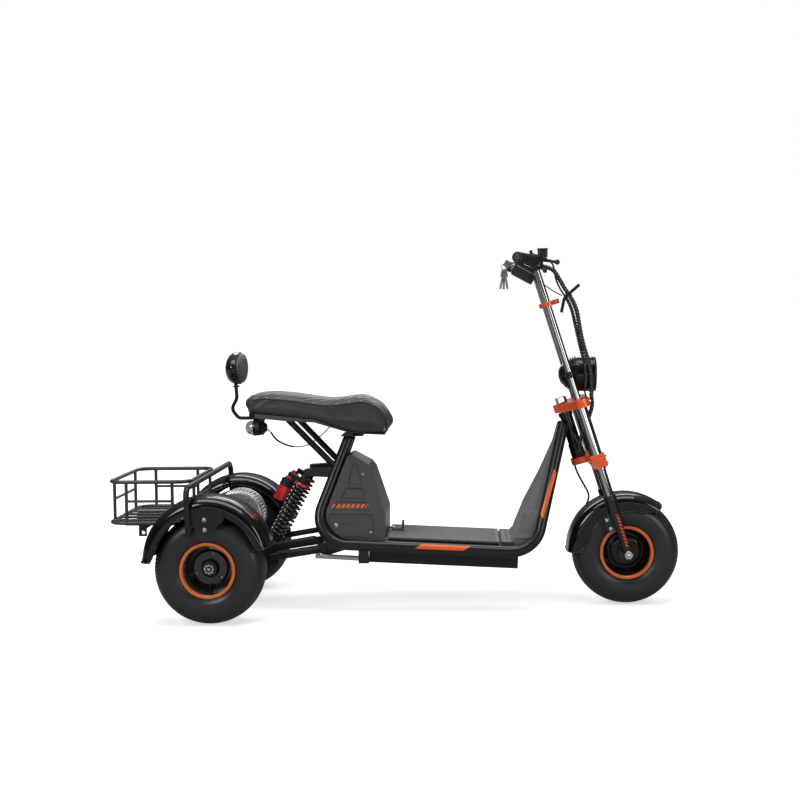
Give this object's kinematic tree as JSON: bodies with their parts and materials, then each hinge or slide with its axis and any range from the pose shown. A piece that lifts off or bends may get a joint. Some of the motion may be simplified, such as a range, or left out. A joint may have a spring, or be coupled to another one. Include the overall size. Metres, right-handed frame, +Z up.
{
  "type": "electric three-wheel scooter",
  "caption": "Step-through electric three-wheel scooter with fat tyres, coil-over rear suspension, rear wheel fenders under a guard hoop, padded seat with backrest and a wire luggage basket.",
  "frame": {"origin": "on the ground, in the middle of the scooter's outline", "axes": "+X the way the scooter drives, +Y its left side, +Z up"},
  "size_m": [1.878, 0.8346, 1.1784],
  "materials": {
    "gloss_black_paint": "gloss",
    "satin_black_steel": "satin",
    "orange_anodised": "anodised",
    "red_anodised": "anodised",
    "chrome": "polished",
    "zinc": "zinc plated",
    "cast_aluminium": "cast",
    "tyre_rubber": "matte",
    "black_plastic": "fine grain",
    "gloss_plastic": "gloss",
    "seat_vinyl": "stitched vinyl",
    "floor_mat_rubber": "ribbed",
    "cable_jacket": "satin",
    "lamp_red": "clear red"
  },
  "bodies": {
    "chassis": {"frame_rail_right": "gloss_black_paint", "frame_rail_left": "gloss_black_paint", "frame_cross_members": "gloss_black_paint", "head_tube": "gloss_black_paint", "seat_struts": "gloss_black_paint", "seat_pan": "satin_black_steel", "seat": "seat_vinyl", "backrest_rod": "satin_black_steel", "backrest_pad": "seat_vinyl", "floor_tray": "black_plastic", "leg_shield": "gloss_plastic", "body_cover": "gloss_plastic", "battery_box": "satin_black_steel", "battery_pack": "black_plastic", "swing_arm": "satin_black_steel", "axle_housing": "satin_black_steel", "drive_motor": "cast_aluminium", "shock_dampers": "satin_black_steel", "shock_springs": "gloss_black_paint", "shock_reservoirs": "red_anodised", "rear_fender_right": "gloss_plastic", "rear_fender_left": "gloss_plastic", "guard_hoop": "gloss_black_paint", "luggage_basket": "satin_black_steel", "basket_sides": "satin_black_steel", "basket_ends": "satin_black_steel", "basket_rail": "satin_black_steel", "basket_carrier": "satin_black_steel", "tail_lamp": "lamp_red", "tail_lamp_lead": "cable_jacket"},
    "steering": {"steering_stem": "chrome", "lower_yoke": "orange_anodised", "upper_yoke": "orange_anodised", "bar_yoke": "orange_anodised", "fork_tubes": "chrome", "fork_sliders": "gloss_black_paint", "front_axle": "chrome", "front_fender": "gloss_plastic", "headlight": "gloss_black_paint", "handlebar": "satin_black_steel", "grips": "black_plastic", "bar_controls": "satin_black_steel", "dash": "black_plastic", "key_switch": "zinc", "cable_strap": "cable_jacket", "cable_bundle": "cable_jacket", "brake_cable": "cable_jacket", "dash_lead": "cable_jacket", "front_brake_hose": "cable_jacket"},
    "front_wheel": {"front_tyre": "tyre_rubber", "front_rim": "gloss_black_paint"},
    "rear_wheel_right": {"rear_tyre_right": "tyre_rubber", "rear_rim_right": "gloss_black_paint"},
    "rear_wheel_left": {"rear_tyre_left": "tyre_rubber", "rear_rim_left": "gloss_black_paint"},
    "side_stand": {"side_stand": "zinc"},
    "floor_lid": {"floor_lid": "floor_mat_rubber"}
  },
  "joints": [
    {"name": "steering_turn", "type": "hinge", "parent": "chassis", "child": "steering", "pos_m": [0.58292, 0, 0.58273], "axis": [-0.2974, 0, 0.9548], "range_deg": [-38, 38]},
    {"name": "front_wheel_spin", "type": "hinge", "parent": "steering", "child": "front_wheel", "pos_m": [0.7615, 0, 0.1775], "axis": [0, 1, 0], "continuous": true},
    {"name": "rear_wheel_right_spin", "type": "hinge", "parent": "chassis", "child": "rear_wheel_right", "pos_m": [-0.5835, -0.312, 0.1775], "axis": [0, 1, 0], "continuous": true},
    {"name": "rear_wheel_left_spin", "type": "hinge", "parent": "chassis", "child": "rear_wheel_left", "pos_m": [-0.5835, 0.312, 0.1775], "axis": [0, 1, 0], "continuous": true},
    {"name": "side_stand_swing", "type": "hinge", "parent": "chassis", "child": "side_stand", "pos_m": [-0.1055, -0.161, 0.178], "axis": [0, -1, 0], "range_deg": [0, 95]},
    {"name": "floor_lid_open", "type": "hinge", "parent": "chassis", "child": "floor_lid", "pos_m": [0.3375, 0, 0.22894], "axis": [0, 1, 0], "range_deg": [0, 75]}
  ]
}
